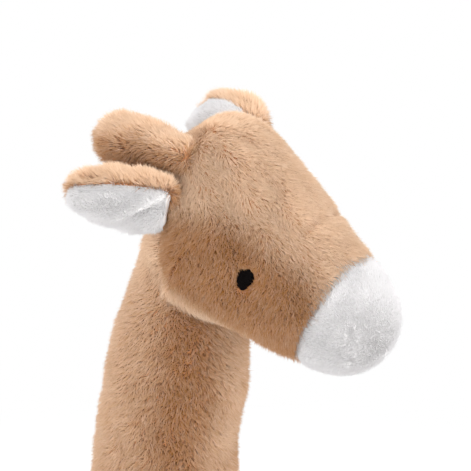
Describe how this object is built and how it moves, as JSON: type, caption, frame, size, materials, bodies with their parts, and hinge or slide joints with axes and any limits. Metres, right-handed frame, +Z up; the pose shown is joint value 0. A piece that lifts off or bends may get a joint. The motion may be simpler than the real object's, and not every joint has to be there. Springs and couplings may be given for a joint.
{
  "type": "plush giraffe",
  "caption": "Standing plush giraffe in tan pile with a white muzzle, white ear linings, soft knobbed horns, stitched eyes, stuffed legs and a tufted tail",
  "frame": {"origin": "on the floor, under the middle of the whole toy's box", "axes": "+X is the way the giraffe faces, +Y is its left side, +Z is up"},
  "size_m": [0.2144, 0.0842, 0.3784],
  "materials": {
    "tan_plush": "matte",
    "white_plush": "matte",
    "black_thread": "satin",
    "fibre_stuffing": "matte"
  },
  "bodies": {
    "torso": {"body_cover": "tan_plush", "body_stuffing": "fibre_stuffing", "neck_cover": "tan_plush", "neck_stuffing": "fibre_stuffing"},
    "head": {"head_cover": "tan_plush", "muzzle_cover": "white_plush", "head_stuffing": "fibre_stuffing", "eye_left": "black_thread", "eye_right": "black_thread"},
    "ear_left": {"ear_lining_left": "white_plush", "ear_back_left": "tan_plush"},
    "horn_left": {"horn_cover_left": "tan_plush", "horn_stuffing_left": "fibre_stuffing"},
    "ear_right": {"ear_lining_right": "white_plush", "ear_back_right": "tan_plush"},
    "horn_right": {"horn_cover_right": "tan_plush", "horn_stuffing_right": "fibre_stuffing"},
    "leg_front_left": {"leg_cover_front_left": "tan_plush", "leg_stuffing_front_left": "fibre_stuffing", "sole_front_left": "tan_plush"},
    "leg_front_right": {"leg_cover_front_right": "tan_plush", "leg_stuffing_front_right": "fibre_stuffing", "sole_front_right": "tan_plush"},
    "leg_rear_left": {"leg_cover_rear_left": "tan_plush", "leg_stuffing_rear_left": "fibre_stuffing", "sole_rear_left": "tan_plush"},
    "leg_rear_right": {"leg_cover_rear_right": "tan_plush", "leg_stuffing_rear_right": "fibre_stuffing", "sole_rear_right": "tan_plush"},
    "tail": {"tail_cord": "tan_plush", "tail_tuft": "white_plush"}
  },
  "joints": [
    {"name": "nod", "type": "hinge", "parent": "torso", "child": "head", "pos_m": [0.04123, 0.0049, 0.33594], "axis": [0, 1, 0], "range_deg": [-12, 12], "stiffness_Nm_per_rad": 0.9},
    {"name": "flap_left", "type": "hinge", "parent": "head", "child": "ear_left", "pos_m": [0.04562, 0.02565, 0.36516], "axis": [0.0425, 0.0955, -0.9945], "range_deg": [-2, 25], "stiffness_Nm_per_rad": 0.03},
    {"name": "flap_right", "type": "hinge", "parent": "head", "child": "ear_right", "pos_m": [0.03868, -0.01983, 0.35334], "axis": [-0.4928, 0.564, -0.6626], "range_deg": [-25, 3], "stiffness_Nm_per_rad": 0.03},
    {"name": "bend_left", "type": "hinge", "parent": "head", "child": "horn_left", "pos_m": [0.03486, 0.0155, 0.36075], "axis": [-0.1741, 0.9847, 0], "range_deg": [-2, 25], "stiffness_Nm_per_rad": 0.05},
    {"name": "bend_right", "type": "hinge", "parent": "head", "child": "horn_right", "pos_m": [0.03739, -0.00571, 0.36471], "axis": [0, 1, 0], "range_deg": [-2, 25], "stiffness_Nm_per_rad": 0.05},
    {"name": "swing_front_left", "type": "hinge", "parent": "torso", "child": "leg_front_left", "pos_m": [0.02292, 0.02389, 0.127], "axis": [0, 1, 0], "range_deg": [-25, 12], "stiffness_Nm_per_rad": 1.5},
    {"name": "swing_front_right", "type": "hinge", "parent": "torso", "child": "leg_front_right", "pos_m": [0.02292, -0.0141, 0.127], "axis": [0, 1, 0], "range_deg": [-25, 12], "stiffness_Nm_per_rad": 1.5},
    {"name": "swing_rear_left", "type": "hinge", "parent": "torso", "child": "leg_rear_left", "pos_m": [-0.06708, 0.02389, 0.127], "axis": [0, 1, 0], "range_deg": [-12, 25], "stiffness_Nm_per_rad": 1.5},
    {"name": "swing_rear_right", "type": "hinge", "parent": "torso", "child": "leg_rear_right", "pos_m": [-0.06708, -0.0141, 0.127], "axis": [0, 1, 0], "range_deg": [-12, 25], "stiffness_Nm_per_rad": 1.5},
    {"name": "tail_swing", "type": "hinge", "parent": "torso", "child": "tail", "pos_m": [-0.10018, 0.0049, 0.16], "axis": [0, 1, 0], "range_deg": [0, 40], "stiffness_Nm_per_rad": 0.02}
  ]
}
